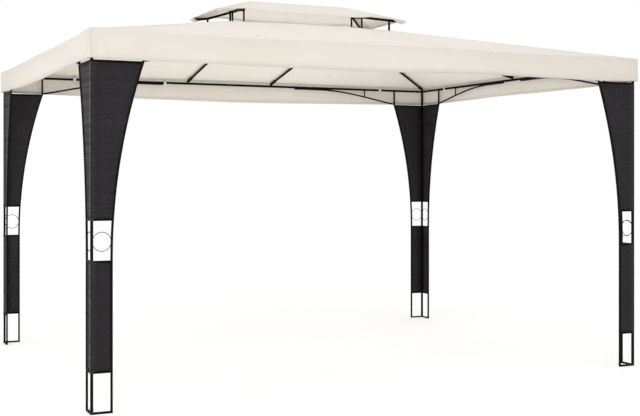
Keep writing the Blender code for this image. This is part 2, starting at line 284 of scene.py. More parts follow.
# %% Wear along edges
wear, given, out = new_group(
    "edge_wear",
    [("Place", "Vector", None), ("Edge Width", "Float", 0.0016), ("Amount", "Float", 0.5)],
    [("Mask", "Float"), ("Round Normal", "Vector")])
rounded = put(wear, "Bevel", {"Radius": given["Edge Width"]}, samples=4)
facing = put(wear, "NewGeometry")
lean = put(wear, "VectorMath", {0: rounded.outputs[0], 1: facing.outputs["Normal"]},
           operation="DOT_PRODUCT")
edge = span(wear, lean.outputs["Value"], 0.985, 0.86)
rub = put(wear, "TexNoise", {"Vector": given["Place"], "Scale": 38.0, "Detail": 6.0})
worn = times(wear, edge, span(wear, rub.outputs[0], 0.50, 0.68))
wear.links.new(times(wear, worn, given["Amount"]), out["Mask"])
wear.links.new(rounded.outputs[0], out["Round Normal"])

# %% Dust on what faces up
dust, given, out = new_group(
    "settled_dust", [("Place", "Vector", None), ("Amount", "Float", 0.4)], [("Mask", "Float")])
facing = put(dust, "NewGeometry")
up = put(dust, "SeparateXYZ", {0: facing.outputs["Normal"]}).outputs[2]
spots = put(dust, "TexNoise", {"Vector": given["Place"], "Scale": 9.0, "Detail": 6.0})
film = times(dust, span(dust, up, 0.2, 0.95), span(dust, spots.outputs[0], 0.3, 0.8))
dust.links.new(times(dust, film, given["Amount"]), out["Mask"])
print("effects:", [g.name for g in bpy.data.node_groups])

# %% [markdown]
# ## Finishes
#
# The steel has a black powder coat: a faint orange-peel texture, softly rounded edges, a slightly
# paler brown-grey where corners rub, and a trace of dust. The Bevel node only bends the normal,
# so the sharp solids catch light along their edges as rolled tube does.

# %% Powder-coated steel
METAL_SPECULAR, PAINT_SPECULAR = 0.5, 0.09
DUST_COLOUR = (0.20, 0.19, 0.17)


def steel_finish(name, colour, metal, worn_colour, roughness):
    specular = METAL_SPECULAR if metal else PAINT_SPECULAR
    mat, tree, shader = new_material(name, Metallic=metal, Specular_IOR_Level=specular)
    place = put(tree, "TexCoord").outputs["Object"]
    edges = use_group(tree, wear, {"Place": place, "Edge Width": 0.0018, "Amount": 0.45})
    film = use_group(tree, dust, {"Place": place, "Amount": 0.03})
    cloudy = put(tree, "TexNoise", {"Vector": place, "Scale": 6.0, "Detail": 4.0}).outputs[0]
    shade = blend_colour(tree, cloudy, [c * 0.8 for c in colour], [c * 1.25 for c in colour])
    shade = blend_colour(tree, edges["Mask"], shade, worn_colour)
    shade = blend_colour(tree, film["Mask"], shade, DUST_COLOUR)
    tree.links.new(shade, shader.inputs["Base Color"])
    gloss = span(tree, cloudy, 0.3, 0.7, roughness - 0.06, roughness + 0.08)
    tree.links.new(calc(tree, "ADD", gloss, times(tree, edges["Mask"], 0.15)),
                   shader.inputs["Roughness"])
    peel = put(tree, "TexNoise", {"Vector": place, "Scale": 620.0, "Detail": 2.0}).outputs[0]
    bump = put(tree, "Bump", {"Strength": 0.25, "Distance": 0.0004, "Height": peel,
                              "Normal": edges["Round Normal"]})
    tree.links.new(bump.outputs[0], shader.inputs["Normal"])
    return mat


STEEL = steel_finish("powder_coated_steel", (0.0025, 0.0021, 0.0019), 0.0,
                     (0.018, 0.016, 0.014), 0.52)
BOLT = steel_finish("blackened_bolt", (0.050, 0.048, 0.046), 0.85, (0.30, 0.29, 0.27), 0.36)

# %% [markdown]
# The strand is extruded resin: flat, with fine lines drawn along it by the die. No two strands
# take the dye alike, so each row gets its own small shift of grey and of gloss. The UV map says
# where a point lies along the strand (u) and which row it is in (whole part of v).

# %% Woven resin
RESIN, tree, shader = new_material("woven_resin", Specular_IOR_Level=0.34)
place = put(tree, "UVMap", uv_map="UVMap").outputs[0]
solid_place = put(tree, "TexCoord").outputs["Object"]
across = put(tree, "SeparateXYZ", {0: place}).outputs
row_number = calc(tree, "FLOOR", across[1])
dye = put(tree, "TexWhiteNoise", {"W": row_number}, noise_dimensions="1D").outputs["Value"]
drawn = put(tree, "Mapping", {"Vector": place, "Scale": (6.0, 9.0, 1.0)})
streak = put(tree, "TexNoise", {"Vector": drawn.outputs[0], "Scale": 3.0,
                                "Detail": 5.0}).outputs[0]
bleached = put(tree, "TexNoise", {"Vector": solid_place, "Scale": 2.4, "Detail": 3.0}).outputs[0]
tone = calc(tree, "ADD", times(tree, dye, 0.45), times(tree, streak, 0.55))
shade = blend_colour(tree, tone, (0.0128, 0.0111, 0.0130), (0.0306, 0.0272, 0.0310))
sunned = span(tree, bleached, 0.45, 0.75, 0.0, 0.25)
shade = blend_colour(tree, sunned, shade, (0.040, 0.036, 0.040))
film = use_group(tree, dust, {"Place": solid_place, "Amount": 0.02})
shade = blend_colour(tree, film["Mask"], shade, DUST_COLOUR)
tree.links.new(shade, shader.inputs["Base Color"])
row_gloss = put(tree, "TexWhiteNoise", {"W": calc(tree, "ADD", row_number, 0.37)},
                noise_dimensions="1D").outputs["Value"]
gloss = calc(tree, "ADD", times(tree, streak, 0.5), times(tree, row_gloss, 0.5))
tree.links.new(span(tree, gloss, 0.1, 0.9, 0.30, 0.62), shader.inputs["Roughness"])
bump = put(tree, "Bump", {"Strength": 0.5, "Distance": 0.0003, "Height": streak})
tree.links.new(bump.outputs[0], shader.inputs["Normal"])

# %% [markdown]
# The cloth is a cream polyester. Daylight comes through it, and the underside is almost as
# bright as the top, so a Translucent shader is mixed with the main one.
# The bumps come from the thread pattern and from the fold lines, and painted shade makes the fold
# lines a little grey.

# %% Canopy cloth
CREAM = (0.808, 0.763, 0.691)
# The darker cream is used for dull patches and dust, and for painted shade along folds and
# stitches.
CREAM_DULL_AND_SHADED = (0.741, 0.695, 0.616)
SEWING_THREAD = (0.88, 0.86, 0.82)
THREAD_PITCH, STITCH_LENGTH = 0.0016, 0.0042


def cloth_finish(name, glow, fold_spacing=0.52, stitches=()):
    """glow is the share of light let through; stitches are the v of each sewn row."""
    mat, tree, shader = new_material(name, Sheen_Weight=0.15, Sheen_Roughness=0.6)
    place = put(tree, "UVMap", uv_map="UVMap").outputs[0]
    solid_place = put(tree, "TexCoord").outputs["Object"]
    creases = use_group(tree, folds, {"Place": place, "Spacing": fold_spacing})
    grain = use_group(tree, thread, {"Place": place, "Pitch": THREAD_PITCH})
    film = use_group(tree, dust, {"Place": solid_place, "Amount": 0.10})
    cloud = put(tree, "TexNoise", {"Vector": solid_place, "Scale": 1.3, "Detail": 4.0}).outputs[0]
    # The mask below adds up dull patches, painted shade along the fold lines, dust, and painted
    # shade beside the stitches.
    dull_and_shade = times(tree, span(tree, cloud, 0.40, 0.75), 0.35)
    # Painted shade along the fold lines.
    dull_and_shade = calc(tree, "MAXIMUM", dull_and_shade, times(tree, creases["Shade"], 0.30))
    dull_and_shade = calc(tree, "MAXIMUM", dull_and_shade, film["Mask"])
    if stitches:
        axes = put(tree, "SeparateXYZ", {0: place}).outputs
        dash = calc(tree, "FRACT", times(tree, axes[0], 1 / STITCH_LENGTH))
        dash = span(tree, calc(tree, "ABSOLUTE", calc(tree, "SUBTRACT", dash, 0.5)), 0.30, 0.42)
        rows = [calc(tree, "ABSOLUTE", calc(tree, "SUBTRACT", axes[1], v)) for v in stitches]
        near = rows[0]
        for row in rows[1:]:
            near = calc(tree, "MINIMUM", near, row)
        sewn = times(tree, span(tree, near, 0.0009, 0.0004), calc(tree, "SUBTRACT", 1.0, dash))
        pulled = span(tree, near, 0.0035, 0.0)
        # Painted shade: the dip beside each stitch row is darkened as well as sunk in the bump.
        dull_and_shade = calc(tree, "MAXIMUM", dull_and_shade, times(tree, pulled, 0.22))
    # Cream darkened by the mask: dull patches, dust and painted shade.
    shade = blend_colour(tree, dull_and_shade, CREAM, CREAM_DULL_AND_SHADED)
    if stitches:
        shade = blend_colour(tree, sewn, shade, SEWING_THREAD)
    tree.links.new(shade, shader.inputs["Base Color"])
    tree.links.new(span(tree, cloud, 0.3, 0.7, 0.72, 0.88), shader.inputs["Roughness"])
    soft = put(tree, "Bump", {"Strength": 0.6, "Distance": 0.012, "Height": creases["Height"]})
    fine = put(tree, "Bump", {"Strength": 0.30, "Distance": 0.00025, "Height": grain["Height"],
                              "Normal": soft.outputs[0]})
    last = fine
    if stitches:
        relief = calc(tree, "SUBTRACT", sewn, pulled)
        last = put(tree, "Bump", {"Strength": 0.8, "Distance": 0.0006, "Height": relief,
                                  "Normal": fine.outputs[0]})
    tree.links.new(last.outputs[0], shader.inputs["Normal"])
    through = put(tree, "BsdfTranslucent", {"Color": shade, "Normal": last.outputs[0]})
    both = put(tree, "MixShader", {0: glow, 1: shader.outputs[0], 2: through.outputs[0]})
    tree.links.new(both.outputs[0], tree.nodes["Material Output"].inputs["Surface"])
    return mat


CLOTH = cloth_finish("canopy_cloth", 0.17)
TAPE = cloth_finish("seam_tape", 0.14, stitches=(0.0025, 0.0105, 0.019))
print("finishes:", [m.name for m in (STEEL, BOLT, RESIN, CLOTH, TAPE)])

# %% [markdown]
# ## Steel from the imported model
#
# Posts, wing frames, trusses, rafters and the vent frame already have their true shape. They
# only get the powder coat.

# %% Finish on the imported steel
STEEL_KINDS = ("corner_post", "wing_frame", "eave_truss", "hip_rafter", "common_rafter",
               "end_rafter", "vent_curb", "vent_end", "vent_ridge_tube")
coated = 0
for name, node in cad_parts.items():
    if name.startswith(STEEL_KINDS):
        for used in node.material_slots:
            used.material = STEEL
        coated += 1
print("steel parts coated:", coated)

# %% [markdown]
# ## The main canopy
#
# On the real canopy four cut panels are sewn along the hips, and a valance hangs from the eave.
# Four flat panels would look like cardboard, so this is one sheet of fine mesh. Every point is
# worked out from how far round it is and how far down, and then moved as tension and gravity
# move cloth: a shallow sag between rafters, a crown where the curb lifts the top edge, slow
# waves in the valance, tension folds that fan out from each corner of the slopes, and small
# pleats beside each corner of the valance.
#
# `p` runs down the sheet: 0 at the top opening, 1 at the eave and 2 at the hem.

# %% Hem heights
# Along each side, metres from its middle and the height of the hem there.
HEM_HEIGHTS = {
    "front": ((-2.0, 2.049), (-1.65, 2.045), (-0.9, 2.039), (-0.11, 2.037), (0.15, 2.042),
              (0.52, 2.053), (0.81, 2.051), (1.19, 2.047), (1.59, 2.041), (2.0, 2.051)),
    "right": ((-1.5, 2.051), (-0.98, 2.043), (-0.42, 2.045), (0.21, 2.053), (0.84, 2.044),
              (1.5, 2.047)),
    "back": ((-2.0, 2.047), (-1.68, 2.045), (-1.43, 2.040), (-0.59, 2.027), (-0.08, 2.020),
             (0.88, 2.032), (2.0, 2.049)),
    "left": ((-1.5, 2.049), (-0.9, 2.036), (-0.48, 2.026), (0.25, 2.030), (1.01, 2.044),
             (1.5, 2.049)),
}


def hem_height(side, s):
    """Height of the hem, s metres along the side from its middle, with the steps smoothed."""
    at, z = np.array(HEM_HEIGHTS[side]).T
    total = 0.0
    for shift in np.linspace(-0.16, 0.16, 9):
        total = total + np.interp(s + shift * (1 - (np.abs(s) / at[-1]) ** 8), at, z)
    return total / 9


print("lowest hem:", round(float(hem_height("back", np.array(-0.08))), 4))


# %% Where a point of the canopy lies
SAG_PER_WIDTH, DEEPEST_SAG = 0.0095, 0.019
LONG_CROWN, SHORT_CROWN = 0.013, 0.004
EAVE_DIP, CORNER_LIFT, FOLD_DEPTH = 0.004, 0.008, 0.0028
SLOW_WAVE, QUICK_WAVE = 0.0060, 0.0022
PLEAT_DEPTH, PLEAT_STEP, PLEAT_FADE = 0.0034, 0.075, 0.09
BELLY, SKIN_STEP = 0.0035, 0.0005


def sides_half(side, t):
    """(half length along the side, distance of the side from the middle) at t down the slope."""
    x = OPENING_X + (EAVE_X - OPENING_X) * t
    y = OPENING_Y + (EAVE_Y - OPENING_Y) * t
    return (x, y) if side in ("front", "back") else (y, x)


def place_on_side(side, s, outward, z):
    """Turns (along, outward, height) of a side into x, y, z."""
    x, y = {"front": (s, -outward), "right": (outward, s),
            "back": (-s, outward), "left": (-outward, -s)}[side]
    return stacked(x, y, z)


def slope_sag(side, s, t, half):
    """How far the cloth hangs below the straight slope between two rafters."""
    rafters = (-COMMON_RAFTER_X, COMMON_RAFTER_X) if side in ("front", "back") else (0.0,)
    edges = [-half] + [np.full_like(half, r) for r in rafters] + [half]
    sag = np.zeros_like(s)
    for low, high in zip(edges[:-1], edges[1:]):
        wide = np.maximum(high - low, 1e-6)
        u = (s - low) / wide
        inside = (u > 0) & (u < 1)
        depth = np.minimum(SAG_PER_WIDTH * wide ** 2, DEEPEST_SAG)
        sag = np.where(inside, 4 * u * (1 - u) * depth, sag)
    return sag * np.sin(np.pi * np.clip(t, 0, 1)) ** 0.8


def fan_of_folds(across, up, widest, seed):
    """Shallow tension folds that fan out from a held corner; across and up are metres from it."""
    r = np.hypot(across, up)
    angle = np.arctan2(up, np.maximum(across, 1e-6))
    inside = np.clip(angle / widest, 0, 1)
    ridge = np.sin(angle * 27.0 + 0.9 * np.sin(r * 7.0 + seed)) + 0.5 * np.sin(angle * 13.0 + seed)
    return ridge * np.sin(np.pi * inside) * np.exp(-((r - 0.34) / 0.22) ** 2)


def canopy_point(side, s, p):
    """Points of the canopy's outer face."""
    s, p = np.broadcast_arrays(np.asarray(s, float), np.asarray(p, float))
    t, v = np.clip(p, 0, 1), np.clip(p - 1, 0, 1)
    half, outward = sides_half(side, t)
    from_corner = np.maximum(half - np.abs(s), 0)
    share = s / half
    z = OPENING_Z + (EAVE_Z - OPENING_Z) * t
    z = z - slope_sag(side, s, t, half)
    crown = LONG_CROWN if side in ("front", "back") else SHORT_CROWN
    z = z + crown * (1 - share ** 2) * np.clip(1 - t / 0.35, 0, 1) ** 2
    z = z - EAVE_DIP * t ** 12 * np.sin(np.pi * np.clip(from_corner / 1.6, 0, 1)) ** 2
    eave_half, eave_out = sides_half(side, 1.0)
    top_half, top_out = sides_half(side, 0.0)
    rise = (eave_out - top_out) * (1 - t)
    hip_angle = math.atan2(eave_out - top_out, eave_half - top_half)
    z = z + FOLD_DEPTH * fan_of_folds(eave_half - np.abs(s), rise, hip_angle, SIDES.index(side))
    near_corner = (side == "front") * (s < 0) + (side == "left") * (s > 0)
    z = z + CORNER_LIFT * near_corner * t ** 6 * np.exp(-(from_corner / 0.16) ** 2)
    drop = z - hem_height(side, s)
    z = z - drop * v
    key = SIDES.index(side)
    slow = 0.55 * np.sin(s * 4.3 + 1.7 * key) + 0.45 * np.sin(s * 9.1 + 2.9 * key + 0.8)
    quick = 0.5 * np.sin(s * 21.0 + 1.1 * key) * np.sin(s * 2.3 + key)
    calm = np.clip(from_corner / 0.14, 0, 1)
    wave = (SLOW_WAVE * slow + QUICK_WAVE * quick) * calm * v ** 1.4
    pleat = (PLEAT_DEPTH * np.sin(math.tau * from_corner / PLEAT_STEP)
             * np.exp(-from_corner / PLEAT_FADE) * v ** 0.7)
    belly = BELLY * np.sin(np.pi * v) * calm
    return place_on_side(side, s, outward + wave + pleat + belly + SKIN_STEP * v, z)


print("front eave middle:", canopy_point("front", 0.0, 1.0).round(4))

# %% [markdown]
# Rows lie closer together at the eave fold and down the valance, where the surface turns most.
# The four sides are laid out one after the other and then welded along the hips.

# %% The sheet
SLOPE_ROWS = np.concatenate([np.linspace(0, 0.975, 55), [0.99, 0.9975]])
HANG_ROWS = 1 + np.concatenate([[0.0, 0.012, 0.04], np.linspace(0.085, 1.0, 20)])
ROWS = np.concatenate([SLOPE_ROWS, HANG_ROWS])
COLUMNS = {"front": 290, "right": 215, "back": 290, "left": 215}


def down_sheet(side, p):
    """Distance down the cloth, for the UV map."""
    run = math.hypot(sides_half(side, 1.0)[1] - sides_half(side, 0.0)[1], OPENING_Z - EAVE_Z)
    return np.clip(p, 0, 1) * run + np.clip(p - 1, 0, 1) * VALANCE_DROP


parts = []
for k, side in enumerate(SIDES):
    q = np.linspace(-1, 1, COLUMNS[side] + 1)
    p = ROWS[:, None]
    s = q[None, :] * sides_half(side, np.clip(p, 0, 1))[0]
    points = canopy_point(side, s, p)
    uvs = stacked(s + UV_GAP * k, -down_sheet(side, p))
    parts.append(grid(points, uvs))
canopy = mesh_piece("main_canopy", *joined(parts), CLOTH, "cloth")
weld_seams(canopy)
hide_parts("canopy_front", "canopy_back", "canopy_left", "canopy_right")
print("canopy faces:", len(canopy.data.polygons))

# %% [markdown]
# ## Hem and seam tapes
#
# The bottom edge is turned up twice and sewn, and a tape covers each hip seam and runs on down
# the corner of the valance. They are thin ribbons that follow the sheet a millimetre off, so
# their edges throw the fine shadow lines that say "sewn".

# %% Ribbons that follow the sheet
def normals_of(points):
    """Unit normals of a grid of points, from its own rows and columns."""
    down = np.gradient(points, axis=0)
    along = np.gradient(points, axis=1)
    n = np.cross(down, along)
    return n / np.maximum(np.linalg.norm(n, axis=-1, keepdims=True), 1e-12)


def turned_edge(face, lift):
    """A strip that lies `lift` off a sheet's outside and turns over its edge to the inside."""
    raised = normals_of(face) * np.array(lift)[:, None, None]
    return np.concatenate([face + raised, (face - raised)[::-1]])


def hem_ribbon(side, skin=0.0009, count=260):
    """A folded strip round the bottom edge: down the outside, round, and up the inside."""
    half, width = sides_half(side, 1.0)[0], HEM_WIDTH / VALANCE_DROP
    s = np.linspace(-half, half, count)
    outside = np.stack([canopy_point(side, s, 2 - level * width) for level in (1.0, 0.5, 0.0)])
    raised = normals_of(outside) * skin * np.array([0.25, 1.0, 1.0])[:, None, None]
    fold = outside[-1:] + np.array([0, 0, -0.0006])
    strip = np.concatenate([outside + raised, fold, (outside - raised)[::-1]])
    v = np.array([0.0, 0.011, 0.022, 0.023, 0.022, 0.011, 0.0])
    uvs = stacked(s[None, :], v[:, None])
    return grid(strip, uvs)


hem_parts = [hem_ribbon(side) for side in SIDES]
hem = mesh_piece("canopy_hem", *joined(hem_parts), TAPE, "cloth")
weld_seams(hem)
print("hem faces:", len(hem.data.polygons))


# %% Tape over each hip and corner
def hip_tape(side, after, width=0.013):
    """A tape over the seam between a side (at its +s end) and the next side (at its -s end)."""
    rows = np.concatenate([np.linspace(0.004, 0.985, 60), [1.0],
                           1 + np.linspace(0.04, 0.985, 14)])
    p = rows[:, None]
    t = np.clip(p, 0, 1)
    offsets = np.array([width, width * 0.96, width * 0.5, width * 0.12])
    first = canopy_point(side, sides_half(side, t)[0] - offsets[None, :], p)
    middle = canopy_point(side, sides_half(side, t)[0], p)
    second = canopy_point(after, -sides_half(after, t)[0] + offsets[None, ::-1], p)
    points = np.concatenate([first, middle, second], axis=1)
    lift = np.array([0.0001, 0.0010, 0.0011, 0.0012, 0.0013, 0.0012, 0.0011, 0.0010, 0.0001])
    along = np.cumsum(np.full(len(rows), 0.025))
    across = np.concatenate([-offsets, [0.0], offsets[::-1]])
    uvs = stacked(along[:, None], np.abs(across)[None, :])
    return grid(points + normals_of(points) * lift[None, :, None], uvs)


tapes = [hip_tape(side, SIDES[(k + 1) % 4]) for k, side in enumerate(SIDES)]
tape = mesh_piece("hip_seam_tape", *joined(tapes), TAPE, "cloth")
print("seam tape faces:", len(tape.data.polygons))

# %% Tape round the top opening
EDGE_LIFT = (0.0001, 0.0009, 0.0011, 0.0009)
edge_parts = []
for side in SIDES:
    s = np.linspace(-1, 1, 90)[None, :]
    p = np.array([0.022, 0.0205, 0.010, 0.0])[:, None]
    top = canopy_point(side, s * sides_half(side, p)[0], p)
    v = np.array([0.0, 0.002, 0.013, 0.026, 0.026, 0.013, 0.002, 0.0])
    uvs = stacked(s * sides_half(side, 0.0)[0], v[:, None])
    edge_parts.append(grid(turned_edge(top, EDGE_LIFT), uvs))
edge = mesh_piece("opening_hem", *joined(edge_parts), TAPE, "cloth")
weld_seams(edge, 0.00001)

# %% [markdown]
# ## Loops that tie the cloth to the beams
#
# Pale loops of the same cloth hold the canopy down to the eave beams. They show as small light
# gaps in the dark line of the beam. Each is a band that comes down from the cloth, goes round
# the beam and comes up again. Each long beam has three and each short beam two.

# %% Tie loops
LOOP_GAP, LOOP_CORNER, LOOP_THICK = 0.0012, 0.003, 0.0009
LONG_LOOPS = ((-1.40, 0.024), (-0.611, 0.022), (1.51, 0.024))
SHORT_LOOPS = ((-1.063, 0.024), (1.063, 0.024))
ROOF_SLOPE = 0.2239
LOOP_TOP = EAVE_Z + 0.0215 * ROOF_SLOPE - 0.004


def tie_loop(beam_y, width):
    """(points, quads, uvs) of one band round a beam that runs along x at y = beam_y."""
    w, h, r = POST / 2 + LOOP_GAP, BEAM / 2 + LOOP_GAP, LOOP_CORNER
    ring = [(0.0008, LOOP_TOP), (0.0009, BEAM_Z + h + 0.002)]
    for cx, cz, start in ((w - r, h - r, 90), (w - r, -h + r, 0),
                          (-w + r, -h + r, -90), (-w + r, h - r, -180)):
        for step in range(4):
            a = math.radians(start - step * 30)
            ring.append((cx + r * math.cos(a), BEAM_Z + cz + r * math.sin(a)))
    ring += [(-0.0009, BEAM_Z + h + 0.002), (-0.0008, LOOP_TOP)]
    ring = np.array(ring)
    across = np.linspace(-0.5, 0.5, 7)
    length = np.concatenate([[0], np.cumsum(np.linalg.norm(np.diff(ring, axis=0), axis=1))])
    wobble = 0.0006 * np.sin(length * 160.0)[:, None] * np.cos(across * 5.0)[None, :]
    x = across[None, :] * width + 0.0008 * np.sin(length * 90.0)[:, None]
    y = beam_y + ring[:, :1] * (1 + 0.02 * np.cos(across * 9.0))[None, :] + wobble
    z = ring[:, 1:] + 0 * x
    uvs = stacked(length[:, None], across[None, :] * width + 0.011)
    return grid(stacked(x, y, z), uvs)


loop_parts = []
for half_across, places, turned in ((HALF_Y, LONG_LOOPS, False), (HALF_X, SHORT_LOOPS, True)):
    for sign in (-1, 1):
        for at, width in places:
            points, quads, uvs = tie_loop(half_across - POST / 2, width)
            moved = (points + np.array([at * sign, 0, 0])) * np.array([1, sign, 1])
            if turned:
                moved = moved[:, [1, 0, 2]]
            loop = (moved, quads, uvs)
            loop_parts.append(turned_over(*loop) if (sign < 0) != turned else loop)
loops = mesh_piece("tie_loops", *joined(loop_parts), TAPE, "cloth")
shell = loops.modifiers.new("thickness", "SOLIDIFY")
shell.thickness = LOOP_THICK
shell.offset = 1.0
print("tie loops:", len(loop_parts))

# %% [markdown]
# ## Drain eyelets
#
# Rain that pools in the sag leaves through small metal eyelets. Each is a rolled ring pressed
# into the cloth, and it is made as a ring of lathe-turned section.

# %% Eyelets
EYELETS = (("front", -0.84, -1.20), ("front", 0.92, -1.20),
           ("back", -0.92, 1.20), ("back", 0.84, 1.20))
EYELET_SECTION = ((0.0045, -0.0015), (0.0042, 0.0), (0.0048, 0.0016), (0.0065, 0.0022),
                  (0.0085, 0.0016), (0.0092, 0.0004), (0.0088, -0.0014), (0.0045, -0.0015))


def lathe(profile, count=24):
    """Turns (radius, height) pairs round z; returns (points, quads, uvs)."""
    turn = np.linspace(0, math.tau, count + 1)
    r, z = np.array(profile).T
    points = np.stack([r[:, None] * np.cos(turn), r[:, None] * np.sin(turn),
                       z[:, None] + 0 * turn], -1)
    uvs = stacked(turn[None, :] * 0.01, z[:, None])
    return grid(points, uvs)


ring_parts = []
for side, x, y in EYELETS:
    t = (abs(y) - OPENING_Y) / (EAVE_Y - OPENING_Y)
    along = x if side == "front" else -x
    here = canopy_point(side, along, t)
    ahead = canopy_point(side, along + 0.01, t) - here
    below = canopy_point(side, along, t + 0.01) - here
    up = Vector(np.cross(below, ahead)).normalized()
    turn = up.to_track_quat("Z", "Y").to_matrix()
    points, quads, uvs = lathe(EYELET_SECTION)
    ring_parts.append((points @ np.array(turn).T + here, quads, uvs))
EYELET = steel_finish("eyelet_metal", (0.50, 0.48, 0.44), 0.9, (0.62, 0.60, 0.55), 0.34)
eyelets = mesh_piece("drain_eyelets", *joined(ring_parts), EYELET, "steel")
weld_seams(eyelets)
print("eyelets:", len(ring_parts))

# %% [markdown]
# ## The vent canopy
#
# The small top cloth stretches from a ridge tube to four rod tips. Its free edges curve in
# between them, and the long ones lift a little near each tip. It is again one sheet, with a
# turned hem, and a pocket under each corner takes the tip of a rod.

# %% The small sheet
def vent_half(side, t):
    x = VENT_RIDGE + (VENT_X - VENT_RIDGE) * t
    y = VENT_Y * t
    return (x, y) if side in ("front", "back") else (y, x)


def vent_point(side, share, t):
    """Points of the vent canopy, share -1 to 1 along a side and t from ridge to edge."""
    share, t = np.broadcast_arrays(np.asarray(share, float), np.asarray(t, float))
    half, outward = vent_half(side, t)
    bow = (1 - share ** 2) * t ** 3
    long_side = side in ("front", "back")
    inward = (0.016 if long_side else 0.009) * bow
    z = VENT_RIDGE_Z + (VENT_EAVE_Z - VENT_RIDGE_Z) * t
    z = z - (0.006 if long_side else 0.004) * np.sin(np.pi * t) * (1 - share ** 4)
    z = z + (0.005 if long_side else 0.003) * bow
    lifted = np.exp(-((np.abs(share) - 0.70) / 0.15) ** 2) * t ** 3
    z = z + (0.015 if long_side else 0.0) * lifted
    ripple = 0.0014 * np.sin(share * 11.0 + SIDES.index(side)) * t ** 3 * (1 - share ** 6)
    return place_on_side(side, share * half, outward - inward, z + ripple)


parts = []
for k, side in enumerate(SIDES):
    share = np.linspace(-1, 1, (110 if side in ("front", "back") else 50) + 1)[None, :]
    t = np.linspace(0, 1, 31)[:, None]
    points = vent_point(side, share, t)
    uvs = stacked(share * vent_half(side, t)[0] + UV_GAP * k, -0.32 * t)
    parts.append(grid(points, uvs))
VENT_CLOTH = cloth_finish("vent_cloth", 0.24, fold_spacing=0.33)
vent = mesh_piece("vent_cloth_top", *joined(parts), VENT_CLOTH, "cloth")
weld_seams(vent)
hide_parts("vent_canopy")
print("vent canopy faces:", len(vent.data.polygons))

# %% Its hem and hip seams
trim_parts = []
for side in SIDES:
    share = np.linspace(-1, 1, 100)[None, :]
    t = np.array([0.93, 0.936, 0.965, 1.0])[:, None]
    v = np.array([0.0, 0.003, 0.011, 0.022, 0.022, 0.011, 0.003, 0.0])
    trim_parts.append(grid(turned_edge(vent_point(side, share, t), EDGE_LIFT),
                           stacked(share * VENT_X, v[:, None])))
for k, side in enumerate(SIDES):
    after = SIDES[(k + 1) % 4]
    t = np.linspace(0.02, 0.93, 40)[:, None]
    wide = np.array([0.012, 0.0115, 0.006, 0.001])
    one = vent_point(side, 1 - wide[None, :] / np.maximum(vent_half(side, t)[0], 0.02), t)
    two = vent_point(after, -1 + wide[None, ::-1] / np.maximum(vent_half(after, t)[0], 0.02), t)
    both = np.concatenate([one, two], axis=1)
    lift = np.array([0.0001, 0.0009, 0.0010, 0.0011, 0.0011, 0.0010, 0.0009, 0.0001])
    v = np.concatenate([wide, wide[::-1]])
    trim_parts.append(grid(both + normals_of(both) * lift[None, :, None],
                           stacked(t * 0.45, v[None, :])))
vent_trim = mesh_piece("vent_hem_and_seams", *joined(trim_parts), TAPE, "cloth")

# %% Corner pockets
POCKET_REACH, POCKET_DEPTH = 0.105, 0.024


def vent_pocket(side, after):
    """A sling of cloth under the corner between two sides, open towards the middle."""
    reach = np.linspace(0.0, POCKET_REACH, 14)[:, None]
    one = vent_point(side, 1 - reach / VENT_X, 1.0)
    two = vent_point(after, -1 + reach / VENT_Y * 0.55, 1.0)
    across = np.linspace(0, 1, 13)[None, :, None]
    sling = one + (two - one) * across
    bulge = np.sin(np.pi * np.clip(0.16 + 0.62 * reach / POCKET_REACH, 0, 1))
    depth = POCKET_DEPTH * bulge[:, :, None]
    sling = sling - np.array([0, 0, 1.0]) * (depth * (np.sin(np.pi * across) ** 0.6) + 0.0012)
    uvs = stacked(reach, across[..., 0] * 0.1)
    return grid(sling, uvs)


pockets = [vent_pocket(side, SIDES[(k + 1) % 4]) for k, side in enumerate(SIDES)]
pocket = mesh_piece("vent_corner_pockets", *joined(pockets), VENT_CLOTH, "cloth")
print("corner pockets:", len(pockets))

# %% [markdown]
# ## Woven legs
#
# Each leg is covered twice, above and below its little window. Flat strands run level from the
# free end of one wing, round the outside of the corner post, to the free end of the other, and
# weave in and out of upright stakes. The rows alternate, so a strand that passes in front of a
# stake has neighbours that pass behind it. A picture of a weave would look flat from the side,
# so every strand is modelled: a flat, four-sided ribbon that follows a wave. Round the corner
# post the strands lie closer, so each is a little narrower there.

# %% The path of a strand
STRAND_PITCH, STRAND_WIDTH, STRAND_THICK = 0.0072, 0.0094, 0.0012
STAKE_PITCH, STAKE_START, STAKE_RADIUS = 0.0240, 0.0400, 0.0015
WAVE = STAKE_RADIUS + STRAND_THICK / 2 + 0.0001
END_GAP, STAKE_MARGIN, CORNER_START, STRAND_STEP = 0.0006, 0.006, 0.004, 0.0058
NARROWER = 0.30


def wing_width(z):
    return WING_FOOT + np.maximum(0.0, z - FLARE_START) ** 2 / (2 * FLARE_RADIUS)


def smooth(x, low, high):
    u = np.clip((x - low) / (high - low), 0, 1)
    return u * u * (3 - 2 * u)


def weave_plane(a):
    """Distance of the weave's middle from the leg's outer face, a metres from the corner."""
    return -0.0010 + 0.0096 * smooth(a, 0.017, 0.060)


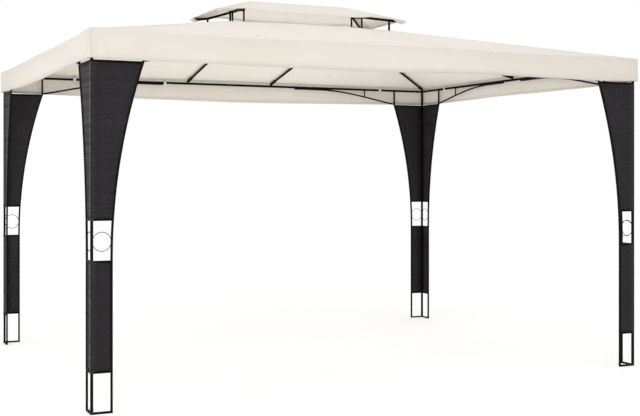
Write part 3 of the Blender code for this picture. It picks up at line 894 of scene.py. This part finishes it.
def strand_path(z, row):
    """Plan points (x, y), outward directions and distances of one strand, from the long wing's
    end round the corner to the short wing's end. The corner is at (0, 0)."""
    end = wing_width(z) - TUBE - END_GAP
    steps = max(6, int(math.ceil((end - CORNER_START) / STRAND_STEP)))
    a = np.linspace(end, CORNER_START, steps + 1)
    sign = 1 if row % 2 else -1
    beat = np.cos(math.pi * (a - STAKE_START) / STAKE_PITCH)
    swing = WAVE * smooth(a, 0.016, 0.027) * sign * beat
    wing = np.stack([a, weave_plane(a) - swing], -1)
    bend = np.radians([-100, -120, -135, -150, -170])
    corner = 0.0012 + np.stack([np.cos(bend), np.sin(bend)], -1) * 0.0022
    path = np.concatenate([wing, corner, wing[::-1, ::-1]])
    run = np.gradient(path, axis=0)
    out = np.stack([-run[:, 1], run[:, 0]], -1)
    out = out / np.maximum(np.linalg.norm(out, axis=1, keepdims=True), 1e-12)
    far = np.concatenate([[0], np.cumsum(np.linalg.norm(np.diff(path, axis=0), axis=1))])
    return path, out, far


path, _, far = strand_path(1.9, 0)
print("strand length at the top:", round(float(far[-1]), 3), "m, points:", len(path))


# %% Strands and stakes of one cover
def strand_mesh(z, row):
    path, out, far = strand_path(z, row)
    thick = STRAND_THICK / 2 * rng.uniform(0.9, 1.12)
    wide = STRAND_WIDTH / 2 * rng.uniform(0.97, 1.02)
    lift = rng.normal(0, 0.00012)
    drift = 0.00025 * np.sin(far * rng.uniform(18, 34) + rng.uniform(0, 6))
    reach = path.max(axis=1)
    wide = wide * (1 - NARROWER * (1 - smooth(reach, 0.007, 0.0145)))
    rings = []
    for push, rise in ((-thick, 0.0), (0.0, wide), (thick, 0.0), (0.0, -wide)):
        level = z + lift + drift + rise
        rings.append(np.column_stack([path + out * push, level]))
    points = np.stack(rings + rings[:1], 0)
    v = row + 0.05 + 0.9 * np.array([0.25, 0.5, 0.75, 1.0, 0.25])
    uvs = stacked(far[None, :], v[:, None])
    return grid(points, uvs)


def stake_mesh(a, low, high, wing, number):
    turn = np.linspace(0, math.tau, 7)
    levels = np.linspace(low, high, 2)
    x = a + STAKE_RADIUS * np.cos(turn)
    y = weave_plane(a) + STAKE_RADIUS * np.sin(turn)
    if wing == "short":
        x, y = y, x
    points = np.stack([np.column_stack([x, y, np.full(7, z)]) for z in levels])
    uvs = stacked(levels[:, None], 500 + number + 0.5 + 0 * turn[None, :])
    part = grid(points, uvs)
    return part if wing == "long" else (part[0], part[1][:, ::-1], part[2])


def cover_parts(low, high):
    parts = []
    count = int((high - low) / STRAND_PITCH)
    pitch = (high - low) / count
    for row in range(count):
        parts.append(strand_mesh(low + (row + 0.5) * pitch, row))
    number = 0
    for wing in ("long", "short"):
        a = STAKE_START
        while a < wing_width(high) - TUBE - STAKE_MARGIN:
            over = max(0.0, a + TUBE + STAKE_MARGIN - WING_FOOT)
            start = max(low, FLARE_START + math.sqrt(2 * FLARE_RADIUS * over)) if over else low
            if high - start > 0.02:
                parts.append(stake_mesh(a, start, high, wing, number))
                number += 1
            a += STAKE_PITCH
    return joined(parts), count, number


# %% Covers on all four legs
for level, (low, high) in (("upper", UPPER_WEAVE), ("lower", LOWER_WEAVE)):
    (points, quads, uvs), rows, stakes = cover_parts(low + END_GAP, high - END_GAP)
    for leg, sx, sy in LEGS:
        at = np.column_stack([sx * (HALF_X - points[:, 0]), sy * (HALF_Y - points[:, 1]),
                              points[:, 2]])
        faces = (at, quads, uvs) if sx * sy > 0 else turned_over(at, quads, uvs)
        cover = mesh_piece("woven_%s_%s" % (level, leg), *faces, RESIN, "weave")
        weld_seams(cover, 0.00001)
        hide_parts("weave_%s_%s_long" % (level, leg), "weave_%s_%s_short" % (level, leg))
    print(level, "cover:", rows, "strands,", stakes, "stakes,", len(quads), "faces")

# %% [markdown]
# ## Bolts and welds
#
# The frame comes flat in a box, so it is bolted: rafter feet to the beams, rafter heads to the
# curb, and the two wings of each leg to their corner post. The braces and struts are welded on.
# One hex bolt and one bead of weld are made and repeated.

# %% One bolt and one bead
WASHER_TOP = 0.0012


def hex_bolt(radius=0.0052, height=0.0036, washer=0.0078):
    """A hex head with a chamfered top on a round washer, standing on z = 0."""
    washer_part = lathe([(0.001, 0.0), (washer, 0.0), (washer, 0.0009),
                         (washer - 0.0003, WASHER_TOP), (0.001, WASHER_TOP)], 20)
    turn = np.linspace(0, math.tau, 7)
    levels = [(radius, WASHER_TOP), (radius, WASHER_TOP + height * 0.8),
              (radius * 0.86, WASHER_TOP + height), (0.0003, WASHER_TOP + height)]
    points = np.stack([np.column_stack([r * np.cos(turn), r * np.sin(turn), np.full(7, z)])
                       for r, z in levels])
    head = grid(points, np.zeros(points.shape[:2] + (2,)))
    points, quads, uvs = joined([washer_part, head])
    return points, quads[:, ::-1], uvs


def weld_bead(radius=0.0072, thick=0.0021, count=26):
    """A lumpy ring of weld round a thin tube that stands on z = 0."""
    turn = np.linspace(0, math.tau, count + 1)
    lump = 1 + 0.22 * np.sin(turn * 9) + 0.10 * np.sin(turn * 5 + 1)
    lump[-1] = lump[0]
    section = np.linspace(0, math.tau, 9)
    r = radius + thick * lump[None, :] * np.cos(section)[:, None]
    z = thick * 0.8 * lump[None, :] * np.sin(section)[:, None]
    points = np.stack([r * np.cos(turn), r * np.sin(turn), z], -1)
    return grid(points, np.zeros(points.shape[:2] + (2,)))


def stand_on(part, place, direction):
    """Moves a part so that it stands at place and points along direction."""
    turn = np.array(Vector(direction).to_track_quat("Z", "Y").to_matrix())
    return part[0] @ turn.T + np.array(place), part[1], part[2]


# %% Where they go
FOOT_BOLT_Z, POST_BOLTS_Z = 0.0066, (0.2398, 0.8764, 1.1178)
BEAM_BOLTS, END_RAFTER_BOLTS = (0.045, 0.095), (-0.13, 0.13)
bolt, small_bolt, bead = hex_bolt(), hex_bolt(0.0038, 0.0026, 0.0056), weld_bead()
bolt_parts, bead_parts = [], []
post_x, post_y = HALF_X - POST / 2, HALF_Y - POST / 2
curb_x, curb_y = CURB_HALF_X - CURB_BAR, CURB_HALF_Y - CURB_BAR
curb_z = CURB_TOP - CURB_BAR / 2


def add_bolt(place, direction, head=bolt):
    bolt_parts.append(stand_on(head, place, direction))


for leg, sx, sy in LEGS:
    for z in (FOOT_BOLT_Z, *POST_BOLTS_Z):
        head = small_bolt if z == FOOT_BOLT_Z else bolt
        add_bolt((sx * post_x, sy * HALF_Y, z), (0, sy, 0), head)
        add_bolt((sx * HALF_X, sy * post_y, z), (sx, 0, 0), head)
    for a in BEAM_BOLTS:
        add_bolt((sx * (HALF_X - a), sy * (HALF_Y - POST), BEAM_Z), (0, -sy, 0))
        add_bolt((sx * (HALF_X - POST), sy * (HALF_Y - a), BEAM_Z), (-sx, 0, 0))
for sy in (-1, 1):
    for x in (-COMMON_RAFTER_X, COMMON_RAFTER_X):
        add_bolt((x, sy * curb_y, curb_z), (0, -sy, 0))
for sx in (-1, 1):
    for y in END_RAFTER_BOLTS:
        add_bolt((sx * curb_x, y, curb_z), (-sx, 0, 0))
fasteners = mesh_piece("bolts", *joined(bolt_parts), BOLT, "steel", smooth=False)
weld_seams(fasteners)
print("bolts:", len(bolt_parts))

# %% Welds at the struts
LONG_STRUT, SHORT_STRUT = 0.633, 0.604
WELD_Z = BEAM_Z - BEAM / 2 - 0.0004
for leg, sx, sy in LEGS:
    for x, y in ((HALF_X - LONG_STRUT, post_y), (post_x, HALF_Y - SHORT_STRUT)):
        bead_parts.append(stand_on(bead, (sx * x, sy * y, WELD_Z), (0, 0, -1)))
welds = mesh_piece("weld_beads", *joined(bead_parts), STEEL, "steel")
weld_seams(welds)
print("weld beads:", len(bead_parts))

# %% [markdown]
# ## What the cloths were cut from
#
# The canopy's four slopes and its valance open out to 13.9 square metres, and the vent cloth to
# just under one.

# %% Cloth facts
SLOPE_HOLDERS = ["hip_rafter_%s" % leg for leg, _, _ in LEGS]
SLOPE_HOLDERS += ["common_rafter_%s" % leg for leg, _, _ in LEGS]
SLOPE_HOLDERS += ["end_rafter_left", "end_rafter_right", "vent_curb"]

# %% [markdown]
# ## Floor and light
#
# The product shot stands on plain white with almost no shadow. The floor looks white to the
# camera but sends back less light than a white one, so the undersides keep their tone. The sky
# is brightest at the horizon. A large soft lamp in front models the cloth, a strip at the side
# draws the edges of the legs, and one near the floor points up into the roof.

# %% Floor
FLOOR_FOR_BOUNCES, FLOOR_GLOW, FLOOR_SIZE = (0.70, 0.69, 0.68), 0.11, 60.0
mat, tree, shader = new_material("pale_floor", Roughness=0.85, Specular_IOR_Level=0.2)
place = put(tree, "TexCoord").outputs["Object"]
speckle = put(tree, "TexNoise", {"Vector": place, "Scale": 3.0, "Detail": 6.0}).outputs[0]
seen = blend_colour(tree, speckle, (0.955, 0.955, 0.955), (0.975, 0.975, 0.975))
to_eye = put(tree, "LightPath").outputs["Is Camera Ray"]
tree.links.new(blend_colour(tree, to_eye, FLOOR_FOR_BOUNCES, seen), shader.inputs["Base Color"])
shader.inputs["Emission Color"].default_value = (1.0, 1.0, 1.0, 1.0)
tree.links.new(times(tree, to_eye, FLOOR_GLOW), shader.inputs["Emission Strength"])
bm = bmesh.new()
bmesh.ops.create_grid(bm, x_segments=8, y_segments=8, size=FLOOR_SIZE)
floor_mesh = bpy.data.meshes.new("floor")
bm.to_mesh(floor_mesh)
bm.free()
floor_mesh.materials.append(mat)
floor = bpy.data.objects.new("floor", floor_mesh)
scene.collection.objects.link(floor)

# %% Light
HORIZON_LIGHT, ZENITH_LIGHT = 1.13, 0.88
world = bpy.data.worlds.new("studio")
scene.world = world
world.use_nodes = True
tree = world.node_tree
sky = tree.nodes["Background"]
sky.inputs["Color"].default_value = (1.0, 1.0, 1.0, 1.0)
above = put(tree, "SeparateXYZ", {0: put(tree, "TexCoord").outputs["Generated"]}).outputs[2]
tree.links.new(span(tree, above, 0.0, 0.75, HORIZON_LIGHT, ZENITH_LIGHT), sky.inputs["Strength"])
backdrop = put(tree, "Background", {"Color": (1.0, 1.0, 1.0, 1.0), "Strength": 1.0})
ray = put(tree, "LightPath")
both = put(tree, "MixShader", {0: ray.outputs["Is Camera Ray"], 1: sky.outputs[0],
                               2: backdrop.outputs[0]})
tree.links.new(both.outputs[0], tree.nodes["World Output"].inputs["Surface"])


def soft_lamp(name, place, aim, size, power):
    lamp = bpy.data.lights.new(name, "AREA")
    lamp.shape = "RECTANGLE"
    lamp.size, lamp.size_y = size
    lamp.energy = power
    obj = bpy.data.objects.new(name, lamp)
    obj.location = place
    obj.rotation_euler = (Vector(aim) - Vector(place)).to_track_quat("-Z", "Y").to_euler()
    obj.visible_camera = False
    scene.collection.objects.link(obj)


soft_lamp("front_softbox", (-5.0, -10.0, 6.5), (0.0, 0.0, 1.8), (7.0, 5.0), 290.0)
soft_lamp("side_strip", (-9.0, -3.5, 2.6), (-1.9, -1.4, 1.6), (0.7, 2.2), 130.0)
soft_lamp("floor_bounce", (0.0, 0.0, 0.03), (0.0, 0.01, 2.3), (2.5, 1.5), 36.0)
scene.view_settings.view_transform = "Standard"
